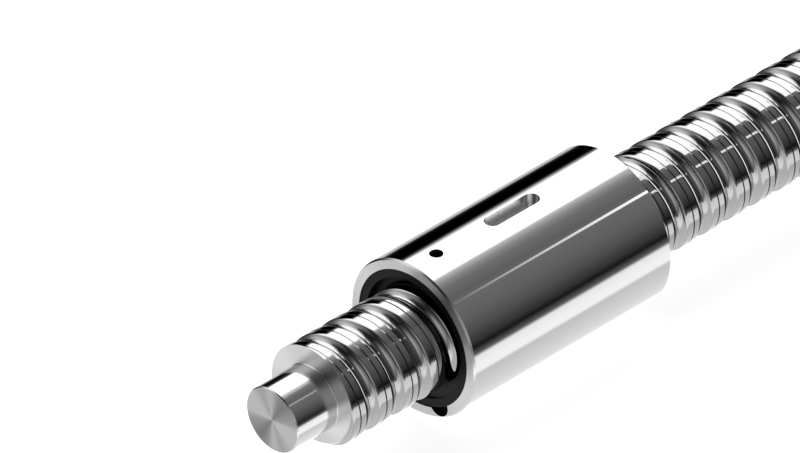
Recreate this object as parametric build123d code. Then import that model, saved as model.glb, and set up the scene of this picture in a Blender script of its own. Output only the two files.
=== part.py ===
from build123d import *
from bisect import bisect_left
from math import atan2, cos, degrees, dist, radians, sin, sqrt
import os

# Cylindrical single ball nut on its precision-rolled screw, in millimetres.
# The origin is the nut's centre on the screw axis.
# +X runs along the screw away from the front wiper, and +Z through the lubrication hole.
# Pieces are shaped with the screw axis upright and are laid along X when they are written.

# Ball thread: one right-hand start
LEAD = 10.0
BALL_DIAMETER = 3.969
BALL_CIRCLE = 32.0
THREAD_PHASE = -4.0

# Gothic arch of both grooves: each flank's radius, and how far the flanks' centres are apart
FLANK_RADIUS = 2.072
FLANK_OFFSET = 0.0534

# Screw
SCREW_DIAMETER = 31.4
THREAD_FRONT = -77.3
THREAD_LENGTH = 215.0
JOURNAL_DIAMETER = 20.0
JOURNAL_LENGTH = 15.4
JOURNAL_CHAMFER = 0.3
JOURNAL_FILLET = 0.3

# Nut body
NUT_DIAMETER = 48.0
NUT_LENGTH = 77.0
NUT_BORE = 32.7
NUT_CHAMFER = 0.5

# Keyway and lubrication hole, both on top
KEYWAY_LENGTH = 20.0
KEYWAY_WIDTH = 5.0
KEYWAY_DEPTH = 3.0
LUBE_HOLE_DIAMETER = 4.0
LUBE_HOLE_FROM_FRONT = 9.1

# Wiper and its seat in each end of the nut
WIPER_DIAMETER = 41.7
WIPER_THICKNESS = 6.0
WIPER_SINK = 0.3
WIPER_SEAT_CLEARANCE = 0.05
LIP_CLEARANCE = 0.38
LIP_MOUTH_DIAMETER = 36.6
THREAD_RIB_CLEARANCE = 0.3

# Ramp down into the wiper's mouth, and the rounded end that it stops in
RAMP_START = 203.0
RAMP_TURN = 327.0
RAMP_DROP_PER_TURN = 4.4
RAMP_END_RADIUS = 11.2
RAMP_END_TURN = 42.0

# Round ear of the wiper in a notch of the nut's end ring
EAR_ANGLE = 240.0
EAR_CIRCLE = 40.0
EAR_RADIUS = 3.4
EAR_CLEARANCE = 0.2
EAR_SINK = 1.8
EAR_THICKNESS = 2.1

# Ball circuits, each closed by one return insert
CIRCUITS = 5
CIRCUIT_TURN = 60.0  # how far each circuit's insert is turned from the one before
RETURN_HALF_ANGLE = 24.0
LAND_CLEARANCE = 0.15  # between a returning ball and the screw's land
LIFT_SHARE = 0.32  # share of the return taken by the rise, and by the fall
BALL_GAP = 0.15  # least free way between two balls, along their path
PATH_STEPS = 600

# Return insert and its pocket in the nut's bore
INSERT_LENGTH = 22.4
INSERT_WIDTH = 9.6
INSERT_SEAT_RADIUS = 20.4
INSERT_CLEARANCE = 0.05
INSERT_SCREW_CLEARANCE = 0.9
CHANNEL_CLEARANCE = 0.14
CHANNEL_RUN_ON = 0.55  # share of the return that the channel runs on at each end
CHANNEL_POINTS = 29

# Worked out from the sizes above
BALL_RADIUS = BALL_DIAMETER / 2
CIRCLE_RADIUS = BALL_CIRCLE / 2
SCREW_RADIUS = SCREW_DIAMETER / 2
NUT_RADIUS = NUT_DIAMETER / 2
NUT_HALF = NUT_LENGTH / 2
WIPER_SEAT_DEPTH = WIPER_SINK + WIPER_THICKNESS
CIRCUIT_PITCH = LEAD * (1 + CIRCUIT_TURN / 360)
FIRST_CIRCUIT = -((CIRCUITS - 1) * CIRCUIT_PITCH + LEAD) / 2
BALL_LIFT = SCREW_RADIUS + LAND_CLEARANCE + BALL_RADIUS - CIRCLE_RADIUS
PAST_END = 2.0  # how far a cutter runs past what it cuts
SEAM_TURN = 45.0  # from the thread cutter's first point to the seam of the bar it cuts

# Frame of the finished part: upright axis along X, angle 0 at +Y, 90 degrees at +Z
ALONG_SCREW = Plane(origin=(0, 0, 0), x_dir=(0, 1, 0), z_dir=(1, 0, 0)).location


def polar(radius, angle, height=0.0):
    """Point at a radius, an angle in degrees and a height on the upright axis."""
    return (radius * cos(radians(angle)), radius * sin(radians(angle)), height)


def groove_height(angle):
    """Height of the groove's centre line at an angle, which may pass a full turn."""
    return THREAD_PHASE + LEAD * angle / 360


def groove_angle(height):
    """Angle at which the groove's centre line crosses a height."""
    return 360 * (height - THREAD_PHASE) / LEAD


def gothic_face(shrink=0.0):
    """Four flank arcs round the ball's centre: the lower pair is the screw's, the upper the nut's."""
    radius = FLANK_RADIUS - shrink
    tip = sqrt(radius**2 - FLANK_OFFSET**2) - FLANK_OFFSET
    side = radius / sqrt(2) - FLANK_OFFSET
    tips = [(tip, 0), (0, tip), (-tip, 0), (0, -tip)]
    sides = [(side, side), (-side, side), (-side, -side), (side, -side)]
    arcs = [ThreePointArc(tips[k], sides[k], tips[(k + 1) % 4]) for k in range(4)]
    return make_face(arcs)


def along_groove(face, low, high):
    """Sweep a face along the groove's centre line between two heights."""
    start = groove_angle(low)
    path = Pos(0, 0, low) * Rot(0, 0, start) * Helix(LEAD, high - low, CIRCLE_RADIUS)
    across = Plane(origin=path @ 0, x_dir=polar(1, start), z_dir=path % 0)
    return sweep(across * face, path=path, is_frenet=True)


def upright(radius, low, high):
    """Cylinder on the axis between two heights."""
    return Pos(0, 0, low) * Cylinder(radius, high - low, align=(Align.CENTER, Align.CENTER, Align.MIN))


# Ball circuits


def smooth(share):
    """Ease from 0 to 1 with level ends."""
    share = min(max(share, 0.0), 1.0)
    return share**2 * (3 - 2 * share)


def smoother(share):
    """Ease from 0 to 1 with level and straight ends."""
    share = min(max(share, 0.0), 1.0)
    return share**3 * (10 - 15 * share + 6 * share**2)


def return_point(first_angle, share):
    """Ball centre at a share of the way over the land, from the circuit's last turn to its first."""
    angle = first_angle + 360 + RETURN_HALF_ANGLE * (2 * share - 1)
    lift = smooth(share / LIFT_SHARE) * smooth((1 - share) / LIFT_SHARE)
    height = groove_height(angle) - LEAD * smoother(share)
    return polar(CIRCLE_RADIUS + BALL_LIFT * lift, angle, height)


def circuit_points(first_angle):
    """Closed line of ball centres: the loaded turn, then the return over the land."""
    loaded = 360 - 2 * RETURN_HALF_ANGLE
    points = []
    for step in range(PATH_STEPS):
        angle = first_angle + RETURN_HALF_ANGLE + loaded * step / PATH_STEPS
        points.append(polar(CIRCLE_RADIUS, angle, groove_height(angle)))
    for step in range(PATH_STEPS + 1):
        points.append(return_point(first_angle, step / PATH_STEPS))
    return points


def ball_centres(first_angle):
    """Centres of as many balls as the circuit holds, evenly spaced along its line."""
    points = circuit_points(first_angle)
    travelled = [0.0]
    for before, after in zip(points, points[1:]):
        travelled.append(travelled[-1] + dist(before, after))
    count = int(travelled[-1] / (BALL_DIAMETER + BALL_GAP))
    spacing = travelled[-1] / count
    return [points[bisect_left(travelled, spacing * (k + 0.5))] for k in range(count)]


def ball_circuit(first_angle):
    """The loose balls of one circuit."""
    balls = [Pos(*centre) * Sphere(BALL_RADIUS) for centre in ball_centres(first_angle)]
    return Compound(children=balls)


def insert_block(first_angle, clearance):
    """Slanted round-ended block from the axis out to the insert's seat."""
    middle = groove_height(first_angle) + LEAD / 2
    face_on = Plane(origin=(0, 0, middle), x_dir=polar(1, first_angle + 90), z_dir=polar(1, first_angle))
    across = 2 * radians(RETURN_HALF_ANGLE) * (CIRCLE_RADIUS + BALL_LIFT / 2)
    drop = LEAD * (1 - RETURN_HALF_ANGLE / 180)
    slant = degrees(atan2(-drop, across))
    outline = SlotOverall(INSERT_LENGTH - 2 * clearance, INSERT_WIDTH - 2 * clearance)
    return extrude(face_on * Rot(0, 0, slant) * outline, amount=INSERT_SEAT_RADIUS)


def return_channel(first_angle):
    """Curved channel of the insert, run on along both turns of the groove."""
    step = (1 + 2 * CHANNEL_RUN_ON) / (CHANNEL_POINTS - 1)
    shares = [k * step - CHANNEL_RUN_ON for k in range(CHANNEL_POINTS)]
    path = Spline([return_point(first_angle, share) for share in shares])
    across = Plane(origin=path @ 0, z_dir=path % 0)
    return sweep(across * Circle(BALL_RADIUS + CHANNEL_CLEARANCE), path=path)


def return_insert(first_angle):
    """Plastic insert that lifts the balls over the screw's land and back one turn."""
    block = insert_block(first_angle, INSERT_CLEARANCE)
    bore = upright(SCREW_RADIUS + INSERT_SCREW_CLEARANCE, -NUT_HALF, NUT_HALF)
    return block - bore - return_channel(first_angle)


# Wiper, shaped with its outer face at height 0 and its body above


def wiper_phase():
    """Height of the groove at angle 0, measured inwards from the front wiper's face."""
    return (THREAD_PHASE + NUT_HALF - WIPER_SINK) % LEAD


def ramp_cut():
    """Helical clearance of the mouth: deeper all the way round, down to its rounded end."""
    mouth = LIP_MOUTH_DIAMETER / 2
    inner = CIRCLE_RADIUS - FLANK_RADIUS - 1
    tall = WIPER_THICKNESS
    drop = RAMP_DROP_PER_TURN * RAMP_TURN / 360
    path = Rot(0, 0, RAMP_START) * Helix(RAMP_DROP_PER_TURN, drop, inner)
    side_on = Plane(origin=path @ 0, x_dir=polar(1, RAMP_START), z_dir=polar(1, RAMP_START + 90))
    profile = Pos((mouth - inner) / 2, tall / 2) * Rectangle(mouth - inner, tall)
    ramp = sweep(side_on * profile, path=path, is_frenet=True)
    end = RAMP_START + RAMP_TURN
    centre = polar(mouth - RAMP_END_RADIUS, end)
    fan = [(0, 0)] + [polar(NUT_RADIUS, end - 1 + k * RAMP_END_TURN / 3)[:2] for k in range(4)]
    rounded = Pos(*centre) * Circle(RAMP_END_RADIUS) & make_face(Polyline(*fan, close=True))
    return ramp + extrude(Pos(0, 0, -tall) * rounded, amount=tall + drop)


def ear(clearance, low, high):
    """Round ear at the wiper's edge between two depths, or its notch with a clearance."""
    centre = polar(EAR_CIRCLE / 2, EAR_ANGLE, low)
    return Pos(*centre) * Cylinder(
        EAR_RADIUS + clearance, high - low, align=(Align.CENTER, Align.CENTER, Align.MIN)
    )


def wiper():
    """Plastic ring whose rib follows the screw's groove behind a helical mouth."""
    outer = WIPER_DIAMETER / 2
    bore = SCREW_RADIUS + LIP_CLEARANCE
    ring = upright(outer, 0, WIPER_THICKNESS) - upright(bore, -PAST_END, WIPER_THICKNESS + PAST_END)
    low = wiper_phase() - LEAD
    rib = along_rib(gothic_face(THREAD_RIB_CLEARANCE), low)
    rib = rib & upright(outer, 0, WIPER_THICKNESS)
    return ring + rib + ear(0, EAR_SINK, EAR_SINK + EAR_THICKNESS) - ramp_cut()


def along_rib(face, low):
    """Sweep a face two turns along the groove as it passes the wiper, from angle 0 at a height."""
    path = Pos(0, 0, low) * Helix(LEAD, 2 * LEAD, CIRCLE_RADIUS)
    across = Plane(origin=path @ 0, x_dir=(1, 0, 0), z_dir=path % 0)
    return sweep(across * face, path=path, is_frenet=True)


def front_place():
    """Where the front wiper goes on the upright axis."""
    return Pos(0, 0, WIPER_SINK - NUT_HALF)


def rear_place():
    """The same wiper turned end for end, then round the axis until its rib meets the groove."""
    out_of_step = NUT_HALF - WIPER_SINK - wiper_phase() - LEAD / 2 - THREAD_PHASE
    return Rot(0, 0, 360 * out_of_step / LEAD) * Pos(0, 0, NUT_HALF - WIPER_SINK) * Rot(0, 180, 0)


def notch():
    """Blind notch for the wiper's ear, open at the nut's end face."""
    return ear(EAR_CLEARANCE, -WIPER_SINK - PAST_END, EAR_SINK + EAR_THICKNESS)


# Nut body


def keyway():
    """Round-ended keyway on top of the nut, at the middle of its length."""
    top = Plane(origin=(0, NUT_RADIUS - KEYWAY_DEPTH, 0), x_dir=(0, 0, 1), z_dir=(0, 1, 0))
    return extrude(top * SlotOverall(KEYWAY_LENGTH, KEYWAY_WIDTH), amount=KEYWAY_DEPTH + PAST_END)


def lube_hole():
    """Radial hole on top, into the groove in front of the first circuit."""
    top = Plane(origin=(0, 0, LUBE_HOLE_FROM_FRONT - NUT_HALF), x_dir=(0, 0, 1), z_dir=(0, 1, 0))
    return extrude(top * Circle(LUBE_HOLE_DIAMETER / 2), amount=NUT_RADIUS + PAST_END)


def nut_body(first_angles):
    """Ground cylinder with the ball thread, the insert pockets and a wiper seat at each end."""
    blank = upright(NUT_RADIUS, -NUT_HALF, NUT_HALF)
    rims = blank.edges().filter_by(GeomType.CIRCLE)
    inner_end = NUT_HALF - WIPER_SEAT_DEPTH
    bore = upright(NUT_BORE / 2, -NUT_HALF - PAST_END, NUT_HALF + PAST_END)
    threaded_bore = bore + along_groove(gothic_face(), -inner_end - PAST_END, inner_end + PAST_END)
    body = chamfer(rims, NUT_CHAMFER) - threaded_bore
    seat = WIPER_DIAMETER / 2 + WIPER_SEAT_CLEARANCE
    body -= upright(seat, -NUT_HALF - PAST_END, -inner_end)
    body -= upright(seat, inner_end, NUT_HALF + PAST_END)
    for angle in first_angles:
        body -= insert_block(angle, 0)
    body -= front_place() * notch()
    body -= rear_place() * notch()
    return body - keyway() - lube_hole()


# Screw


def journal(low, high):
    """Plain journal between two heights, with its free end first."""
    bar = upright(JOURNAL_DIAMETER / 2, min(low, high), max(low, high))
    free_end = bar.edges().filter_by(GeomType.CIRCLE).sort_by_distance((0, 0, low))[0]
    return chamfer(free_end, JOURNAL_CHAMFER)


def ball_screw():
    """Rolled thread run out through both end faces, with a turned journal at each end."""
    rear = THREAD_FRONT + THREAD_LENGTH
    seam = groove_angle(THREAD_FRONT - PAST_END) + SEAM_TURN
    thread = Rot(0, 0, seam) * upright(SCREW_RADIUS, THREAD_FRONT, rear)
    thread -= along_groove(gothic_face(), THREAD_FRONT - PAST_END, rear + PAST_END)
    screw = thread + journal(THREAD_FRONT - JOURNAL_LENGTH, THREAD_FRONT)
    screw += journal(rear + JOURNAL_LENGTH, rear)
    roots = [
        edge
        for edge in screw.edges().filter_by(GeomType.CIRCLE)
        if abs(edge.radius - JOURNAL_DIAMETER / 2) < 0.01 and edge.center().Z in (THREAD_FRONT, rear)
    ]
    return fillet(roots, JOURNAL_FILLET)


# Assembly


def pieces():
    """Every node by name, on the upright axis."""
    first_angles = [groove_angle(FIRST_CIRCUIT + k * CIRCUIT_PITCH) for k in range(CIRCUITS)]
    nodes = {"nut_body": nut_body(first_angles), "ball_screw": ball_screw()}
    one_wiper = wiper()
    nodes["front_wiper"] = front_place() * one_wiper
    nodes["rear_wiper"] = rear_place() * one_wiper
    for k, angle in enumerate(first_angles, start=1):
        nodes[f"return_insert_{k}"] = return_insert(angle)
        nodes[f"ball_circuit_{k}"] = ball_circuit(angle)
    return nodes


os.makedirs("parts", exist_ok=True)
for name, piece in pieces().items():
    export_step(ALONG_SCREW * piece, f"parts/{name}.step")
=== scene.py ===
"""Looks of a cylindrical ball screw nut on its rolled screw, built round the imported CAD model.

Metres throughout. +X runs along the screw away from the nut's front wiper, and +Z is up.
"""

import logging
from dataclasses import dataclass, field
from enum import Enum
from math import acos, asin, atan2, cos, pi, radians, sin, sqrt
from typing import Any, Callable

import bpy
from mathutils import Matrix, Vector

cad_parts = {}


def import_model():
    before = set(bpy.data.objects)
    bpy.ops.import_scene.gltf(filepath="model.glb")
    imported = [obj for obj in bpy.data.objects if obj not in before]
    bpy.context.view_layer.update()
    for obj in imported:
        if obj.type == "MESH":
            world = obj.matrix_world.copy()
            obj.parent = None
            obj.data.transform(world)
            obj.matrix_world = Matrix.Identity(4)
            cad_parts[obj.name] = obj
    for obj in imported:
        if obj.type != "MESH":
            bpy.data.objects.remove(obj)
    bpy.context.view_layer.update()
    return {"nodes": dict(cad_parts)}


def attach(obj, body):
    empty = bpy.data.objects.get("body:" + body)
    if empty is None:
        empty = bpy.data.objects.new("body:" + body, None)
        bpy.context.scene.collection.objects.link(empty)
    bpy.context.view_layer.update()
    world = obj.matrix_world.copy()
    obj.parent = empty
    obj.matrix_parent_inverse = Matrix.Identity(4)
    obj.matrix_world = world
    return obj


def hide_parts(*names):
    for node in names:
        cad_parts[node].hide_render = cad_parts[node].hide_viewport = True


LOG = logging.getLogger("ball_screw_nut")
MM = 0.001
WHITE = "#FFFFFF"
QUARTER_TURN = 0.25  # as a share of a whole turn, for the direction of turning rings
BUMP_DEPTH = 0.02 * MM
SCREW_MERGE = 1e-6  # points nearer than this, in metres, are one where an outline's turns meet
SHELL_MERGE = 2e-6  # and in the shell that the turns make
CUT_REACH = 1e-7  # points this near to a cutting plane lie on it


# Small helpers


def linear(hex_colour: str) -> tuple[float, float, float, float]:
    """Turn an sRGB hex colour into a linear colour.

    Args:
        hex_colour: Six hex digits after a hash sign.

    Returns:
        Red, green, blue and alpha for a shader socket.
    """
    values = []
    for start in (1, 3, 5):
        share = int(hex_colour[start : start + 2], 16) / 255
        values.append(share / 12.92 if share <= 0.04045 else ((share + 0.055) / 1.055) ** 2.4)
    return (values[0], values[1], values[2], 1.0)


def add_node(
    tree: bpy.types.NodeTree,
    kind: str,
    settings: dict[str, Any] | None = None,
    links: dict[str | int, bpy.types.NodeSocket] | None = None,
) -> bpy.types.Node:
    """Add one shader node with its settings and links.

    Args:
        tree: Node tree that gets the node.
        kind: Blender's type name of the node.
        settings: Values by attribute name, or by input name or number.
        links: Output sockets by the name or number of the input that they feed.

    Returns:
        The new node.
    """
    node = tree.nodes.new(kind)
    for key, value in (settings or {}).items():
        if isinstance(key, str) and hasattr(node, key):
            setattr(node, key, value)
        else:
            node.inputs[key].default_value = value
    for key, source in (links or {}).items():
        tree.links.new(source, node.inputs[key])
    return node


def empty_material(name: str) -> tuple[bpy.types.Material, bpy.types.NodeTree]:
    """Make a material without any node.

    Args:
        name: Name of the material.

    Returns:
        The material and its node tree.
    """
    material = bpy.data.materials.new(name)
    material.use_nodes = True
    material.node_tree.nodes.clear()
    return material, material.node_tree


def fill_ramp(node: bpy.types.Node, stops: list[tuple[float, float]]) -> None:
    """Set a colour ramp to grey stops.

    Args:
        node: The colour ramp.
        stops: Place from 0 to 1 and linear grey of each stop, in order.
    """
    ramp = node.color_ramp
    while len(ramp.elements) > 1:
        ramp.elements.remove(ramp.elements[-1])
    ramp.elements[0].position = stops[0][0]
    for k, (place, grey) in enumerate(stops):
        element = ramp.elements.new(place) if k else ramp.elements[0]
        element.color = (grey, grey, grey, 1.0)


def deselect_everything() -> None:
    """Leave edit mode and deselect every object."""
    if bpy.context.mode != "OBJECT":
        bpy.ops.object.mode_set(mode="OBJECT")
    bpy.ops.object.select_all(action="DESELECT")


def make_active(piece: bpy.types.Object) -> None:
    """Deselect everything, then select one piece and make it active.

    Args:
        piece: The piece that the next operators act on.
    """
    deselect_everything()
    piece.select_set(True)
    bpy.context.view_layer.objects.active = piece


def apply_all_modifiers(piece: bpy.types.Object) -> None:
    """Apply every modifier of a piece, in order.

    Args:
        piece: The piece, which becomes the active one.
    """
    make_active(piece)
    for modifier in list(piece.modifiers):
        bpy.ops.object.modifier_apply(modifier=modifier.name)


def extruded_outline(name: str, points: list[tuple[float, float]]) -> bpy.types.Object:
    """Draw an open outline in the plane of X and Z by extruding a point.

    Args:
        name: Name of the new piece.
        points: Place along X and height of each point, in metres.

    Returns:
        A mesh object of edges only.
    """
    deselect_everything()
    bpy.ops.mesh.primitive_plane_add(size=MM, location=(0, 0, 0))
    piece = bpy.context.object
    piece.name = piece.data.name = name
    bpy.ops.object.mode_set(mode="EDIT")
    bpy.ops.mesh.select_all(action="SELECT")
    bpy.ops.mesh.merge(type="CENTER")
    here = Vector((points[0][0], 0.0, points[0][1]))
    bpy.ops.transform.translate(value=here)
    for x, z in points[1:]:
        there = Vector((x, 0.0, z))
        bpy.ops.mesh.extrude_region_move(TRANSFORM_OT_translate={"value": there - here})
        here = there
    bpy.ops.object.mode_set(mode="OBJECT")
    return piece


def revolve(piece: bpy.types.Object, steps: int, lead: float = 0.0, turns: int = 1) -> None:
    """Turn an outline round the screw's axis into a shell and merge its doubled points.

    Args:
        piece: Outline in the plane of X and Z.
        steps: Facets in one turn.
        lead: Way along the axis in one turn, in metres.
        turns: Number of turns.
    """
    make_active(piece)
    bpy.ops.object.modifier_add(type="SCREW")
    screw = piece.modifiers[-1]
    screw.axis = "X"
    screw.angle = 2 * pi
    screw.screw_offset = lead
    screw.iterations = turns
    screw.steps = screw.render_steps = steps
    screw.use_merge_vertices = True
    screw.merge_threshold = SCREW_MERGE
    apply_all_modifiers(piece)
    bpy.ops.object.mode_set(mode="EDIT")
    bpy.ops.mesh.select_all(action="SELECT")
    bpy.ops.mesh.remove_doubles(threshold=SHELL_MERGE)
    bpy.ops.object.mode_set(mode="OBJECT")


def select_where(piece: bpy.types.Object, kind: str, test: Callable[[Any], bool]) -> None:
    """Select vertices, edges or faces of a piece by a test on each, and nothing else.

    Args:
        piece: The active piece, in object mode.
        kind: "vertices", "edges" or "polygons".
        test: Says whether an element is selected.
    """
    for group in ("vertices", "edges", "polygons"):
        for element in getattr(piece.data, group):
            element.select = group == kind and test(element)


# Finishes


class SteelTone(Enum):
    """Tones of the steel surfaces, as sRGB hex."""

    POLISHED = "#DDDDDD"
    ROLLED = "#BCBCBC"
    # A little darker than ROLLED: painted shade in the rolling seam.
    SEAM = "#B4B4B4"
    TURNED = "#EAEAEA"
    FACED = "#D6D6D6"
    END_FACED = "#DCDCDC"
    # Near black: hardening scale in the lubrication hole, and painted shade on the seam's steep wall.
    SCALE = "#2A2A2A"


@dataclass(frozen=True)
class GroundSteel:
    """Hardened bearing steel, cylindrically ground and polished: a mirror with a trace of grinding lines.

    A face whose normal follows the axis more than face_test is an end face, which is turned. The keyway is
    milled and duller: it lies closer to the axis than keyway_under_mm, above keyway_over_mm and within
    keyway_reach_mm of the middle. The hole is black with the scale of hardening. The limits are a little
    off the real sizes, so that floor and walls fall inside them and the ground surface doesn't.
    """

    name: str = "ground_bearing_steel"
    tone: SteelTone = SteelTone.POLISHED
    roughness: float = 0.02
    face_roughness: float = 0.42
    face_anisotropy: float = 0.95
    face_test: float = 0.95
    keyway_roughness: float = 0.22
    keyway_under_mm: float = 23.97
    keyway_over_mm: float = 20.9
    keyway_reach_mm: float = 10.1
    scale_roughness: float = 0.6
    scale_specular: float = 0.2
    hole_along_mm: float = -29.4
    hole_reach_mm: float = 2.02
    line_spacing_mm: float = 0.6

    def build(self) -> bpy.types.Material:
        """Make the material: a mirror on the cylinder, turned rings on the end faces.

        Returns:
            The finished material.
        """
        material, tree = empty_material(self.name)
        place = add_node(tree, "ShaderNodeTexCoord")
        facing = add_node(tree, "ShaderNodeSeparateXYZ", links={0: place.outputs["Normal"]})
        along = add_node(tree, "ShaderNodeMath", {"operation": "ABSOLUTE"}, {0: facing.outputs[0]})
        is_face = add_node(
            tree, "ShaderNodeMath", {"operation": "GREATER_THAN", 1: self.face_test}, {0: along.outputs[0]}
        )
        grinding = grinding_lines(tree, place.outputs["Object"], self.line_spacing_mm)
        tangent = add_node(tree, "ShaderNodeTangent", {"direction_type": "RADIAL", "axis": "X"})
        mirror = add_node(
            tree,
            "ShaderNodeBsdfPrincipled",
            {
                "Base Color": linear(self.tone.value),
                "Metallic": 1.0,
                "Roughness": self.roughness,
            },
            {"Normal": grinding},
        )
        face = add_node(
            tree,
            "ShaderNodeBsdfPrincipled",
            {
                "Base Color": linear(SteelTone.FACED.value),
                "Metallic": 1.0,
                "Roughness": self.face_roughness,
                "Anisotropic": self.face_anisotropy,
                "Anisotropic Rotation": QUARTER_TURN,
            },
            {"Tangent": tangent.outputs[0]},
        )
        milled = add_node(
            tree,
            "ShaderNodeBsdfPrincipled",
            {
                "Base Color": linear(SteelTone.TURNED.value),
                "Metallic": 1.0,
                "Roughness": self.keyway_roughness,
            },
        )
        ends = add_node(
            tree,
            "ShaderNodeMixShader",
            links={0: is_face.outputs[0], 1: mirror.outputs[0], 2: face.outputs[0]},
        )
        in_keyway = self.inside_keyway(tree, place.outputs["Object"])
        outside = add_node(
            tree, "ShaderNodeMixShader", links={0: in_keyway, 1: ends.outputs[0], 2: milled.outputs[0]}
        )
        drilled = add_node(
            tree,
            "ShaderNodeBsdfPrincipled",
            {
                "Base Color": linear(SteelTone.SCALE.value),
                "Roughness": self.scale_roughness,
                "Specular IOR Level": self.scale_specular,
            },
        )
        in_hole = self.inside_hole(tree, place.outputs["Object"])
        mix = add_node(
            tree, "ShaderNodeMixShader", links={0: in_hole, 1: outside.outputs[0], 2: drilled.outputs[0]}
        )
        add_node(tree, "ShaderNodeOutputMaterial", links={"Surface": mix.outputs[0]})
        return material

    def inside_hole(
        self, tree: bpy.types.NodeTree, place: bpy.types.NodeSocket
    ) -> bpy.types.NodeSocket:
        """Tell the lubrication hole, still black with hardening scale, from the ground surface.

        Args:
            tree: Node tree of the material.
            place: Object coordinates.

        Returns:
            1 on the hole's wall, 0 elsewhere.
        """
        centred = add_node(
            tree,
            "ShaderNodeVectorMath",
            {"operation": "SUBTRACT", 1: (self.hole_along_mm * MM, 0.0, 0.0)},
            {0: place},
        )
        parts = add_node(tree, "ShaderNodeSeparateXYZ", links={0: centred.outputs[0]})
        flat = add_node(tree, "ShaderNodeCombineXYZ", links={0: parts.outputs[0], 1: parts.outputs[1]})
        away = add_node(
            tree, "ShaderNodeVectorMath", {"operation": "LENGTH"}, {0: flat.outputs[0]}
        )
        near = add_node(
            tree,
            "ShaderNodeMath",
            {"operation": "LESS_THAN", 1: self.hole_reach_mm * MM},
            {0: away.outputs["Value"]},
        )
        above = add_node(
            tree, "ShaderNodeMath", {"operation": "GREATER_THAN", 1: 0.0}, {0: parts.outputs[2]}
        )
        inside = add_node(
            tree, "ShaderNodeMath", {"operation": "MULTIPLY"}, {0: near.outputs[0], 1: above.outputs[0]}
        )
        return inside.outputs[0]

    def inside_keyway(
        self, tree: bpy.types.NodeTree, place: bpy.types.NodeSocket
    ) -> bpy.types.NodeSocket:
        """Tell the milled keyway from the ground surface round it.

        Args:
            tree: Node tree of the material.
            place: Object coordinates.

        Returns:
            1 within the keyway's floor and walls, 0 elsewhere.
        """
        parts = add_node(tree, "ShaderNodeSeparateXYZ", links={0: place})
        flat = add_node(tree, "ShaderNodeCombineXYZ", links={1: parts.outputs[1], 2: parts.outputs[2]})
        radius = add_node(
            tree, "ShaderNodeVectorMath", {"operation": "LENGTH"}, {0: flat.outputs[0]}
        )
        sunk = add_node(
            tree,
            "ShaderNodeMath",
            {"operation": "LESS_THAN", 1: self.keyway_under_mm * MM},
            {0: radius.outputs["Value"]},
        )
        along = add_node(tree, "ShaderNodeMath", {"operation": "ABSOLUTE"}, {0: parts.outputs[0]})
        near = add_node(
            tree,
            "ShaderNodeMath",
            {"operation": "LESS_THAN", 1: self.keyway_reach_mm * MM},
            {0: along.outputs[0]},
        )
        high = add_node(
            tree,
            "ShaderNodeMath",
            {"operation": "GREATER_THAN", 1: self.keyway_over_mm * MM},
            {0: parts.outputs[2]},
        )
        both = add_node(
            tree, "ShaderNodeMath", {"operation": "MULTIPLY"}, {0: sunk.outputs[0], 1: near.outputs[0]}
        )
        inside = add_node(
            tree, "ShaderNodeMath", {"operation": "MULTIPLY"}, {0: both.outputs[0], 1: high.outputs[0]}
        )
        return inside.outputs[0]


def grinding_lines(
    tree: bpy.types.NodeTree, place: bpy.types.NodeSocket, spacing_mm: float
) -> bpy.types.NodeSocket:
    """Faint lines round the axis, as a grinding wheel leaves them.

    Args:
        tree: Node tree of the material.
        place: Object coordinates.
        spacing_mm: Distance between two lines along the axis, drawn coarser than the real 0.05 mm.

    Returns:
        A normal for the shader.
    """
    along = 1 / MM / spacing_mm
    across = 6.0  # a slow change round the axis, which makes lines of the noise
    stretched = add_node(
        tree, "ShaderNodeMapping", {"Scale": (along, across, across)}, {"Vector": place}
    )
    noise = add_node(
        tree,
        "ShaderNodeTexNoise",
        {"Scale": 1.0, "Detail": 2.0, "Roughness": 0.5},
        {"Vector": stretched.outputs[0]},
    )
    bump = add_node(
        tree,
        "ShaderNodeBump",
        {"Strength": 0.05, "Distance": BUMP_DEPTH},
        {"Height": noise.outputs[0]},
    )
    return bump.outputs[0]


@dataclass(frozen=True)
class TurnedSteel:
    """Steel turned on a lathe: fine rings smear a reflection along the axis, or into a fan on a face.

    With no anisotropy it is steel that was rolled or lapped, and a clear mirror.
    """

    name: str
    tone: SteelTone
    roughness: float
    anisotropy: float
    line_spacing_mm: float = 0.5

    def build(self) -> bpy.types.Material:
        """Make the material.

        Returns:
            The finished material.
        """
        material, tree = empty_material(self.name)
        place = add_node(tree, "ShaderNodeTexCoord")
        tangent = add_node(tree, "ShaderNodeTangent", {"direction_type": "RADIAL", "axis": "X"})
        lines = grinding_lines(tree, place.outputs["Object"], self.line_spacing_mm)
        shader = add_node(
            tree,
            "ShaderNodeBsdfPrincipled",
            {
                "Base Color": linear(self.tone.value),
                "Metallic": 1.0,
                "Roughness": self.roughness,
                "Anisotropic": self.anisotropy,
                "Anisotropic Rotation": QUARTER_TURN,
            },
            {"Tangent": tangent.outputs[0], "Normal": lines},
        )
        add_node(tree, "ShaderNodeOutputMaterial", links={"Surface": shader.outputs[0]})
        return material


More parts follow.
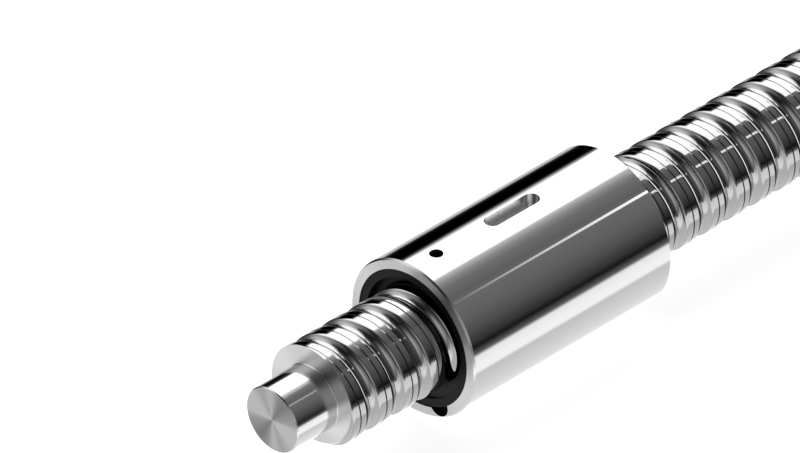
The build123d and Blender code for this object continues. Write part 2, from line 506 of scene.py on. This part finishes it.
@dataclass(frozen=True)
class MouldedPlastic:
    """Injection-moulded plastic: the mould's eroded grain, drawn coarser than its real 0.05 mm, dulls it."""

    name: str
    colour: str
    roughness: float
    ior: float
    specular: float = 0.5
    grain_mm: float = 0.25

    def build(self) -> bpy.types.Material:
        """Make the material.

        Returns:
            The finished material.
        """
        material, tree = empty_material(self.name)
        place = add_node(tree, "ShaderNodeTexCoord")
        grain = add_node(
            tree,
            "ShaderNodeTexNoise",
            {"Scale": 1 / MM / self.grain_mm, "Detail": 3.0, "Roughness": 0.6},
            {"Vector": place.outputs["Object"]},
        )
        bump = add_node(
            tree,
            "ShaderNodeBump",
            {"Strength": 0.25, "Distance": BUMP_DEPTH},
            {"Height": grain.outputs[0]},
        )
        shader = add_node(
            tree,
            "ShaderNodeBsdfPrincipled",
            {
                "Base Color": linear(self.colour),
                "Roughness": self.roughness,
                "IOR": self.ior,
                "Specular IOR Level": self.specular,
            },
            {"Normal": bump.outputs[0]},
        )
        add_node(tree, "ShaderNodeOutputMaterial", links={"Surface": shader.outputs[0]})
        return material


# Studio


@dataclass(frozen=True)
class Strip:
    """Flat lamp along the screw, which only reflections see.

    Its turn round the axis and its widths at the first and the last end are in degrees. Its start, its end
    and its distance from the axis are in metres, and its levels are the light at the two ends.
    """

    name: str
    turn: float
    first_width: float
    last_width: float
    start: float
    end: float
    first_level: float = 1.5
    last_level: float = 1.5
    distance: float = 2.0


@dataclass
class Studio:
    """Camera, floor and the light round the part.

    A band is a list of an angle round the screw, in degrees with 0 at +Y and 90 at +Z, and the light level
    there. The bands change with the lean of a reflection, which is the part of its direction along +X: the
    nut's own hold between its two leans, and each key of other_bands is a lean of another set.
    """

    nut_radius: float = 24 * MM
    floor_radius: float = 0.42
    floor_along: float = 0.02
    floor_sides: int = 96
    floor_colour: str = "#F2F2F2"
    floor_glow: float = 0.8
    focus_right: float = -30.68 * MM
    focus_up: float = 14.94 * MM
    distance: float = 5.5025
    lens: float = 900.0
    sensor_width: float = 36.0
    clip_end: float = 50.0
    softbox_strength: float = 2.0
    nut_bands_above: list[tuple[float, float]] = field(
        default_factory=lambda: [
            (0, 0.0), (17, 0.0), (20, 0.01), (21.5, 0.05), (25, 0.34), (27, 1.17), (29, 2.0),
            (78, 2.0), (81, 1.22), (83, 0.63), (91, 0.33), (99, 0.21), (115, 0.15), (123, 0.19),
            (145, 0.16), (155, 0.13), (165, 0.1), (175, 0.06), (180, 0.046),
        ]
    )
    nut_bands_below: list[tuple[float, float]] = field(
        default_factory=lambda: [
            (-180, 0.046), (-175, 0.021), (-172, 0.012), (-169, 0.044), (-165, 0.1),
            (-162.5, 0.18), (-161, 0.424), (-159, 0.92), (-157, 1.11), (-145, 1.21),
            (-137, 1.21), (-135, 1.05), (-133, 0.85), (-131, 0.74), (-105, 0.857),
            (-79, 0.943), (-67, 1.24), (-45, 1.24), (-33, 0.76), (-23, 0.63), (-17, 0.49),
            (-13, 0.112), (-9, 0.008), (0, 0.0),
        ]
    )
    other_bands: dict[float, list[tuple[float, float]]] = field(
        default_factory=lambda: {
            -1.0: [(-180, 0.02), (180, 0.02)],
            -0.93: [
                (-180, 0.3), (-165, 0.22), (-145, 0.22), (-125, 0.5), (-105, 0.8), (-85, 0.8),
                (-62, 0.2), (-30, 0.2), (-14, 1.1), (-2, 0.8), (12, 0.35), (45, 0.2),
                (65, 0.13), (80, 0.06), (98, 0.03), (120, 0.08), (150, 0.15), (180, 0.3),
            ],
            -0.62: [
                (-180, 0.48), (-166, 0.2), (-150, 0.6), (-137, 1.3), (-124, 0.8), (-95, 0.8),
                (-65, 1.1), (-45, 1.5), (-25, 0.7), (-5, 0.12), (4, 0.3), (14, 0.88),
                (36, 0.98), (48, 0.75), (64, 0.15), (78, 0.03), (102, 0.02), (116, 0.12),
                (132, 0.45), (150, 0.6), (180, 0.48),
            ],
            -0.3: [
                (-180, 0.4), (-165, 0.24), (-156, 1.05), (-136, 1.4), (-126, 0.78),
                (-65, 1.0), (-42, 1.6), (-20, 0.5), (-5, 0.05), (8, 0.12), (24, 0.75),
                (44, 1.1), (57, 0.9), (66, 0.12), (80, 0.03), (100, 0.01), (118, 0.12),
                (142, 0.6), (160, 0.57), (180, 0.4),
            ],
            -0.03: [
                (-180, 0.14), (-163, 0.14), (-157, 1.2), (-137, 1.36), (-127, 0.8),
                (-65, 0.93), (-40, 1.8), (-20, 0.8), (-8, 0.02), (18, 0.01), (32, 1.7),
                (40, 1.9), (66, 1.9), (76, 0.55), (83, 0.05), (120, 0.03), (155, 0.1),
                (180, 0.14),
            ],
            0.65: [
                (-180, 0.02), (-92, 0.04), (-72, 0.5), (-60, 0.9), (-42, 1.3), (-28, 0.6),
                (-18, 0.03), (16, 0.03), (26, 1.8), (70, 1.85), (79, 0.5), (86, 0.03),
                (180, 0.02),
            ],
            0.72: [
                (-180, 0.02), (-130, 0.03), (-100, 0.06), (-84, 0.5), (-70, 0.9), (-42, 1.5),
                (-28, 0.6), (-18, 0.03), (16, 0.05), (26, 1.8), (66, 1.85), (76, 0.5),
                (82, 0.05), (90, 0.015), (180, 0.02),
            ],
            0.87: [
                (-180, 0.02), (-130, 0.03), (-100, 0.08), (-86, 0.6), (-76, 1.5), (-36, 1.5),
                (-26, 0.03), (16, 0.03), (26, 1.8), (70, 1.8), (80, 0.03), (180, 0.02),
            ],
            0.91: [(-180, 1.8), (180, 1.8)],
        }
    )
    nut_leans: tuple[float, float] = (0.52, 0.6)
    strips: tuple[Strip, ...] = (
        Strip("near", 123.0, 2.2, 3.8, 1.3595, 1.478, first_level=0.2),
        Strip("far", 123.6, 4.4, 4.4, 1.478, 2.3),
        Strip("top", 85.0, 11.0, 11.0, 1.482, 2.6, first_level=1.9, last_level=1.9),
    )

    def camera(self) -> None:
        """Long lens on the photograph's isometric line of sight."""
        back = Vector((-1, -1, 1)).normalized()
        right = Vector((1, -1, 0)).normalized()
        up = back.cross(right)
        focus = right * self.focus_right + up * self.focus_up
        deselect_everything()
        bpy.ops.object.camera_add(location=focus + back * self.distance)
        camera = bpy.context.object
        camera.name = "camera"
        camera.rotation_mode = "QUATERNION"
        camera.rotation_quaternion = (-back).to_track_quat("-Z", "Y")
        camera.data.lens = self.lens
        camera.data.sensor_width = self.sensor_width
        camera.data.clip_end = self.clip_end
        bpy.context.scene.camera = camera

    def light(self) -> None:
        """World of long softboxes and dark flags laid along the screw, white where the camera looks."""
        world = bpy.data.worlds.new("studio")
        bpy.context.scene.world = world
        world.use_nodes = True
        tree = world.node_tree
        tree.nodes.clear()
        place = add_node(tree, "ShaderNodeTexCoord")
        parts = add_node(tree, "ShaderNodeSeparateXYZ", links={0: place.outputs["Generated"]})
        turn = add_node(
            tree,
            "ShaderNodeMath",
            {"operation": "ARCTAN2"},
            {0: parts.outputs[2], 1: parts.outputs[1]},
        )
        above = self.bands(tree, turn, 0.0, 180.0, self.nut_bands_above)
        below = self.bands(tree, turn, -180.0, 0.0, self.nut_bands_below)
        is_above = add_node(
            tree, "ShaderNodeMath", {"operation": "GREATER_THAN", 1: 0.0}, {0: turn.outputs[0]}
        )
        on_nut = self.blend(tree, is_above.outputs[0], below, above)
        levels = [
            (lean, self.bands(tree, turn, -180.0, 180.0, stops))
            for lean, stops in self.other_bands.items()
        ]
        levels += [(lean, on_nut) for lean in self.nut_leans]
        levels.sort(key=lambda level: level[0])
        whole = levels[0][1]
        for (lean, _), (next_lean, grey) in zip(levels, levels[1:]):
            share = add_node(
                tree,
                "ShaderNodeMapRange",
                {"From Min": lean, "From Max": next_lean},
                {"Value": parts.outputs[0]},
            )
            whole = self.blend(tree, share.outputs[0], whole, grey)
        studio = add_node(
            tree,
            "ShaderNodeBackground",
            {"Strength": self.softbox_strength},
            {"Color": whole},
        )
        white = add_node(tree, "ShaderNodeBackground", {"Color": linear(WHITE), "Strength": 1.0})
        path = add_node(tree, "ShaderNodeLightPath")
        mix = add_node(
            tree,
            "ShaderNodeMixShader",
            links={0: path.outputs["Is Camera Ray"], 1: studio.outputs[0], 2: white.outputs[0]},
        )
        add_node(tree, "ShaderNodeOutputWorld", links={"Surface": mix.outputs[0]})

    def bands(
        self,
        tree: bpy.types.NodeTree,
        turn: bpy.types.Node,
        low: float,
        high: float,
        stops: list[tuple[float, float]],
    ) -> bpy.types.NodeSocket:
        """Bright and dark bands by the angle round the screw's axis.

        Args:
            tree: The world's node tree.
            turn: Node that gives the angle in radians, 0 at +Y and a quarter turn at +Z.
            low: Angle in degrees where the bands begin.
            high: Angle in degrees where they end.
            stops: Angle in degrees and light level of each stop, in order.

        Returns:
            Light level as a share of the softbox's.
        """
        share = add_node(
            tree,
            "ShaderNodeMapRange",
            {"From Min": radians(low), "From Max": radians(high)},
            {"Value": turn.outputs[0]},
        )
        ramp = add_node(tree, "ShaderNodeValToRGB", links={0: share.outputs[0]})
        span = high - low
        fill_ramp(ramp, [((at - low) / span, level / self.softbox_strength) for at, level in stops])
        return ramp.outputs[0]

    def blend(
        self,
        tree: bpy.types.NodeTree,
        share: bpy.types.NodeSocket,
        first: bpy.types.NodeSocket,
        second: bpy.types.NodeSocket,
    ) -> bpy.types.NodeSocket:
        """Go from one set of bands to another.

        Args:
            tree: The world's node tree.
            share: 0 for the first set, 1 for the second.
            first: Level of the first set.
            second: Level of the second set.

        Returns:
            The blended level.
        """
        mix = add_node(
            tree, "ShaderNodeMix", {"data_type": "RGBA"}, {0: share, 6: first, 7: second}
        )
        return mix.outputs[2]

    def lamp(self, strip: Strip) -> None:
        """Flat lamp beside the part, which only reflections see.

        Args:
            strip: Place, size and level of the lamp.
        """
        angle = radians(strip.turn)
        width = strip.distance * radians(strip.first_width)
        deselect_everything()
        bpy.ops.mesh.primitive_plane_add(
            size=1.0,
            location=(
                (strip.start + strip.end) / 2,
                strip.distance * cos(angle),
                strip.distance * sin(angle),
            ),
            rotation=(angle - pi / 2, 0, 0),
        )
        lamp = bpy.context.object
        lamp.name = f"lamp_{strip.name}"
        lamp.scale = (strip.end - strip.start, width, 1.0)
        bpy.ops.object.transform_apply(location=True, rotation=True, scale=True)
        select_where(lamp, "vertices", lambda vertex: vertex.co.x > strip.end - MM)
        grow = strip.last_width / strip.first_width
        bpy.ops.object.mode_set(mode="EDIT")
        bpy.ops.transform.resize(value=(1.0, grow, grow))
        bpy.ops.object.mode_set(mode="OBJECT")
        material, tree = empty_material(f"lamp_glow_{strip.name}")
        glow = add_node(
            tree, "ShaderNodeEmission", {"Color": linear(WHITE), "Strength": strip.last_level}
        )
        if strip.first_level != strip.last_level:
            place = add_node(tree, "ShaderNodeTexCoord")
            parts = add_node(tree, "ShaderNodeSeparateXYZ", links={0: place.outputs["Object"]})
            fade = add_node(
                tree,
                "ShaderNodeMapRange",
                {
                    "From Min": strip.start,
                    "From Max": strip.end,
                    "To Min": strip.first_level,
                    "To Max": strip.last_level,
                },
                {"Value": parts.outputs[0]},
            )
            tree.links.new(fade.outputs[0], glow.inputs["Strength"])
        add_node(tree, "ShaderNodeOutputMaterial", links={"Surface": glow.outputs[0]})
        lamp.data.materials.append(material)
        lamp.visible_camera = False
        lamp.visible_diffuse = False
        lamp.visible_shadow = False

    def floor(self) -> None:
        """White table under the nut, which keeps the part's soft shadow."""
        deselect_everything()
        bpy.ops.mesh.primitive_circle_add(
            vertices=self.floor_sides,
            radius=self.floor_radius,
            fill_type="NGON",
            location=(self.floor_along, 0, -self.nut_radius),
        )
        floor = bpy.context.object
        floor.name = "floor"
        bpy.ops.object.transform_apply(location=True, rotation=True, scale=True)
        material, tree = empty_material("white_table")
        path = add_node(tree, "ShaderNodeLightPath")
        diffuse = add_node(tree, "ShaderNodeBsdfDiffuse", {"Color": linear(self.floor_colour)})
        glow = add_node(
            tree, "ShaderNodeEmission", {"Color": linear(WHITE), "Strength": self.floor_glow}
        )
        none = add_node(tree, "ShaderNodeEmission", {"Strength": 0.0})
        seen = add_node(
            tree,
            "ShaderNodeMixShader",
            links={0: path.outputs["Is Camera Ray"], 1: none.outputs[0], 2: glow.outputs[0]},
        )
        both = add_node(
            tree, "ShaderNodeAddShader", links={0: diffuse.outputs[0], 1: seen.outputs[0]}
        )
        add_node(tree, "ShaderNodeOutputMaterial", links={"Surface": both.outputs[0]})
        floor.data.materials.append(material)
        floor.visible_glossy = False

    def build(self) -> None:
        """Set up the whole studio."""
        bpy.context.scene.view_settings.view_transform = "Standard"
        self.camera()
        self.light()
        for strip in self.strips:
            self.lamp(strip)
        self.floor()
        LOG.info("studio set up")


# Screw


class ScrewSurface(Enum):
    """Surfaces of the screw that have their own finish, numbered as the material slots."""

    THREAD = 0
    JOURNAL = 1
    SHOULDER = 2
    END_FACE = 3
    SEAM = 4
    SEAM_WALL = 5


@dataclass
class RolledScrew:
    """Rolled ball thread with a turned journal at each end.

    The groove and its edges are arcs. The land between two grooves has a rounded shoulder on each side and
    in its middle a seam, where the rolls closed the metal: a steep wall faces a gentle slope. The thread is
    drawn from leads_before leads ahead of the phase, over all its turns, and then trimmed to its ends.
    """

    lead: float = 10 * MM
    ball_circle_radius: float = 16 * MM
    bar_radius: float = 15.7 * MM
    phase: float = -4.0 * MM
    flank_radius: float = 2.072 * MM
    flank_offset: float = 0.0534 * MM
    crest_radius_front: float = 1.4 * MM
    crest_radius_rear: float = 2.5 * MM
    edge_radius: float = 0.6 * MM
    crest_angle: float = 22.0
    seam_gentle: float = 0.38 * MM
    seam_steep: float = 0.08 * MM
    seam_depth: float = 0.07 * MM
    support: float = 0.03 * MM
    thread_front: float = -77.3 * MM
    thread_rear: float = 137.7 * MM
    journal_radius: float = 10 * MM
    journal_length: float = 15.4 * MM
    journal_chamfer: float = 0.3 * MM
    journal_fillet: float = 0.3 * MM
    fillet_support: float = 0.45 * MM
    chamfer_support: float = 0.1 * MM
    edge_reach: float = 0.05 * MM
    end_reach: float = 0.001 * MM
    face_test: float = 0.98
    smooth_angle: float = 32.0
    steps_per_turn: int = 96
    root_steps: int = 8
    edge_steps: int = 6
    crest_steps: int = 4
    leads_before: int = 9
    turns: int = 24
    journal_steps: int = 128
    fillet_steps: int = 4

    def half_profile(self, seam_width: float, crest_radius: float) -> list[tuple[float, float]]:
        """Half of one lead's section, from the groove's root out to the middle of the land.

        Args:
            seam_width: Width of the seam's slope on this side, where the rolled land closed up.
            crest_radius: Rounding of the land's shoulder on this side.

        Returns:
            Distance from the groove's middle and radius of each point, in metres.
        """
        land_depth = self.ball_circle_radius - self.bar_radius
        crest = radians(self.crest_angle)
        crest_drop = land_depth + crest_radius * (1 - cos(crest))
        root_angle = asin(self.flank_offset / self.flank_radius)
        top_angle = acos(
            (crest_drop + self.edge_radius * cos(crest) + self.flank_offset)
            / (self.flank_radius + self.edge_radius)
        )
        points = []
        for k in range(self.root_steps + 1):
            angle = root_angle + (top_angle - root_angle) * k / self.root_steps
            across = self.flank_radius * sin(angle) - self.flank_offset
            down = self.flank_radius * cos(angle) - self.flank_offset
            points.append((max(across, 0.0), self.ball_circle_radius - down))
        crest_start = points[-1][0] + self.edge_radius * (sin(top_angle) - sin(crest))
        edge = crest_start + crest_radius * sin(crest)
        for k in range(1, self.edge_steps + 1):
            angle = top_angle + (crest - top_angle) * k / self.edge_steps
            across = crest_start - self.edge_radius * (sin(angle) - sin(crest))
            down = crest_drop + self.edge_radius * (cos(crest) - cos(angle))
            points.append((across, self.ball_circle_radius - down))
        for k in range(1, self.crest_steps + 1):
            angle = crest * (1 - k / self.crest_steps)
            across = edge - crest_radius * sin(angle)
            down = land_depth + crest_radius * (1 - cos(angle))
            points.append((across, self.ball_circle_radius - down))
        half = self.lead / 2
        land = self.bar_radius
        points.append((edge + self.support, land))
        for across in (half - seam_width - self.support, half - seam_width):
            points.append((across, land))
        points.append((half, land - self.seam_depth))
        return points

    def thread(self) -> bpy.types.Object:
        """One lead's section drawn on top of the screw, then screwed along the axis and trimmed.

        Returns:
            The open threaded shell.
        """
        lean = sqrt(1 + (self.lead / (2 * pi * self.ball_circle_radius)) ** 2)
        left, right = (
            [(min(x * lean, self.lead / 2), r) for x, r in self.half_profile(width, crest)]
            for width, crest in (
                (self.seam_steep, self.crest_radius_rear),
                (self.seam_gentle, self.crest_radius_front),
            )
        )
        section = [(-x, r) for x, r in reversed(left)] + right[1:]
        middle = self.phase + self.lead / 4 - self.leads_before * self.lead
        piece = extruded_outline("rolled_screw", [(middle + x, r) for x, r in section])
        revolve(piece, self.steps_per_turn, self.lead, self.turns)
        bpy.ops.object.mode_set(mode="EDIT")
        for x, inner in ((self.thread_front, True), (self.thread_rear, False)):
            bpy.ops.mesh.select_all(action="SELECT")
            bpy.ops.mesh.bisect(
                plane_co=(x, 0, 0), plane_no=(1, 0, 0), threshold=CUT_REACH,
                clear_inner=inner, clear_outer=not inner,
            )
        bpy.ops.object.mode_set(mode="OBJECT")
        return piece

    def journal(self, name: str, root: float, outward: int) -> bpy.types.Object:
        """Turned journal, open where it meets the thread's end face.

        Args:
            name: Name of the piece.
            root: Where the thread ends, along X.
            outward: -1 for the front end, 1 for the rear.

        Returns:
            The open shell of the journal.
        """
        length, radius, chamfer = self.journal_length, self.journal_radius, self.journal_chamfer
        angles = [pi / 2 * k / self.fillet_steps for k in range(self.fillet_steps + 1)]
        fillet = [
            (self.journal_fillet * (1 - cos(angle)), radius + self.journal_fillet * (1 - sin(angle)))
            for angle in angles
        ]
        rest = [
            (self.fillet_support, radius),
            (length / 2, radius),
            (length - chamfer - self.chamfer_support, radius),
            (length - chamfer, radius),
            (length, radius - chamfer),
            (length, radius / 2),
            (length, 0.0),
        ]
        piece = extruded_outline(name, [(root + outward * x, r) for x, r in fillet + rest])
        revolve(piece, self.journal_steps)
        return piece

    def close_shoulders(self, piece: bpy.types.Object) -> None:
        """Fill the end face between the thread's cut edge and each journal's root.

        Args:
            piece: Thread and journals as one mesh.
        """
        for x in (self.thread_front, self.thread_rear):
            make_active(piece)
            bpy.ops.object.mode_set(mode="EDIT")
            bpy.ops.mesh.select_mode(type="EDGE")
            bpy.ops.mesh.select_all(action="DESELECT")
            bpy.ops.mesh.select_non_manifold(
                extend=False, use_wire=False, use_multi_face=False, use_non_contiguous=False,
                use_verts=False, use_boundary=True,
            )
            bpy.ops.object.mode_set(mode="OBJECT")
            open_edges = {edge.index for edge in piece.data.edges if edge.select}
            vertices = piece.data.vertices
            select_where(
                piece,
                "edges",
                lambda edge: edge.index in open_edges
                and abs(vertices[edge.vertices[0]].co.x - x) < self.edge_reach,
            )
            bpy.ops.object.mode_set(mode="EDIT")
            bpy.ops.mesh.mark_sharp()
            bpy.ops.mesh.fill(use_beauty=True)
            bpy.ops.object.mode_set(mode="OBJECT")

    def build(self) -> bpy.types.Object:
        """Model the screw and dress it.

        Returns:
            The finished piece.
        """
        piece = self.thread()
        front = self.journal("front_journal", self.thread_front, -1)
        rear = self.journal("rear_journal", self.thread_rear, 1)
        make_active(piece)
        front.select_set(True)
        rear.select_set(True)
        bpy.ops.object.join()
        self.close_shoulders(piece)
        bpy.ops.object.mode_set(mode="EDIT")
        bpy.ops.mesh.select_all(action="SELECT")
        bpy.ops.mesh.normals_make_consistent(inside=False)
        bpy.ops.object.mode_set(mode="OBJECT")
        self.dress(piece)
        make_active(piece)
        bpy.ops.object.shade_smooth_by_angle(angle=radians(self.smooth_angle), keep_sharp_edges=True)
        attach(piece, "screw")
        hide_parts("ball_screw")
        LOG.info("%s: %d faces", piece.name, len(piece.data.polygons))
        return piece

    def dress(self, piece: bpy.types.Object) -> None:
        """Give the thread, its seam, the journals and the end faces their finishes.

        Args:
            piece: The whole screw.
        """
        finishes = {
            # Rolled and polished: a clear mirror, so the rounded lands break the light into bands.
            ScrewSurface.THREAD: TurnedSteel("rolled_polished_steel", SteelTone.ROLLED, 0.04, 0.0),
            # Turned: rings round the axis smear a reflection along the journal.
            ScrewSurface.JOURNAL: TurnedSteel("turned_steel", SteelTone.TURNED, 0.13, 0.8),
            # Faced on the lathe: rings round the middle spread a reflection into a fan.
            ScrewSurface.SHOULDER: TurnedSteel("faced_steel", SteelTone.FACED, 0.36, 0.95),
            # Faced with a coarser feed: the fan is broader and softer.
            ScrewSurface.END_FACE: TurnedSteel("end_faced_steel", SteelTone.END_FACED, 0.52, 1.0),
            # Rolled but not reached by the polish: a line a little rougher than the land, its tone a little
            # darker as painted shade of the crease.
            ScrewSurface.SEAM: TurnedSteel("rolling_seam_painted_shade", SteelTone.SEAM, 0.12, 0.0),
            # Painted shade: the seam's steep wall is coloured near black, a hairline standing for the shade
            # in the crease.
            ScrewSurface.SEAM_WALL: TurnedSteel("seam_wall_painted_shade", SteelTone.SCALE, 0.4, 0.0),
        }
        for surface in ScrewSurface:
            piece.data.materials.append(finishes[surface].build())
        for polygon in piece.data.polygons:
            polygon.material_index = self.surface_of(polygon).value

    def surface_of(self, polygon: bpy.types.MeshPolygon) -> ScrewSurface:
        """Tell by its place and normal which surface of the screw a face lies on.

        Args:
            polygon: A face of the whole screw.

        Returns:
            The surface.
        """
        x, y, z = polygon.center
        if not self.thread_front + self.end_reach < x < self.thread_rear - self.end_reach:
            if abs(polygon.normal.x) <= self.face_test:
                return ScrewSurface.JOURNAL
            front_end = self.thread_front - self.journal_length + self.end_reach
            rear_end = self.thread_rear + self.journal_length - self.end_reach
            return ScrewSurface.SHOULDER if front_end <= x <= rear_end else ScrewSurface.END_FACE
        turned = self.lead * atan2(z, y) / (2 * pi)
        past_seam = (x - self.phase - turned) % self.lead - self.lead / 2
        if not -self.seam_gentle < past_seam < self.seam_steep:
            return ScrewSurface.THREAD
        return ScrewSurface.SEAM_WALL if past_seam > 0 else ScrewSurface.SEAM


# Nut, wipers and balls


@dataclass
class BallNut:
    """The CAD pieces of the nut, each with its real finish."""

    nodes: dict[str, bpy.types.Object]
    circuits: int = 5
    steel: GroundSteel = field(default_factory=GroundSteel)
    # Acetal, dyed black and moulded: dull, with hardly any highlight.
    wiper_finish: MouldedPlastic = field(
        default_factory=lambda: MouldedPlastic("black_acetal", "#0D0E0E", 0.5, 1.48, 0.14)
    )
    # Nylon without dye: off-white with a soft sheen.
    insert_finish: MouldedPlastic = field(
        default_factory=lambda: MouldedPlastic("natural_nylon", "#DDD8C8", 0.45, 1.53)
    )
    # Lapped bearing balls: the clearest mirror of the part.
    ball_finish: TurnedSteel = field(
        default_factory=lambda: TurnedSteel("lapped_ball_steel", SteelTone.POLISHED, 0.02, 0.0)
    )

    def dress(self, names: list[str], material: bpy.types.Material) -> None:
        """Put one material on some CAD pieces.

        Args:
            names: Names of the CAD nodes.
            material: The finish that they get.
        """
        for name in names:
            self.nodes[name].material_slots[0].material = material
            LOG.info("%s: %s", name, material.name)

    def build(self) -> None:
        """Dress every piece of the nut."""
        numbers = range(1, self.circuits + 1)
        self.dress(["nut_body"], self.steel.build())
        self.dress(["front_wiper", "rear_wiper"], self.wiper_finish.build())
        self.dress([f"return_insert_{k}" for k in numbers], self.insert_finish.build())
        self.dress([f"ball_circuit_{k}" for k in numbers], self.ball_finish.build())


def main() -> None:
    """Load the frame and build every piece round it."""
    logging.basicConfig(level=logging.INFO, format="%(name)s: %(message)s")
    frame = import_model()
    Studio().build()
    RolledScrew().build()
    BallNut(frame["nodes"]).build()


if __name__ == "__main__":
    main()
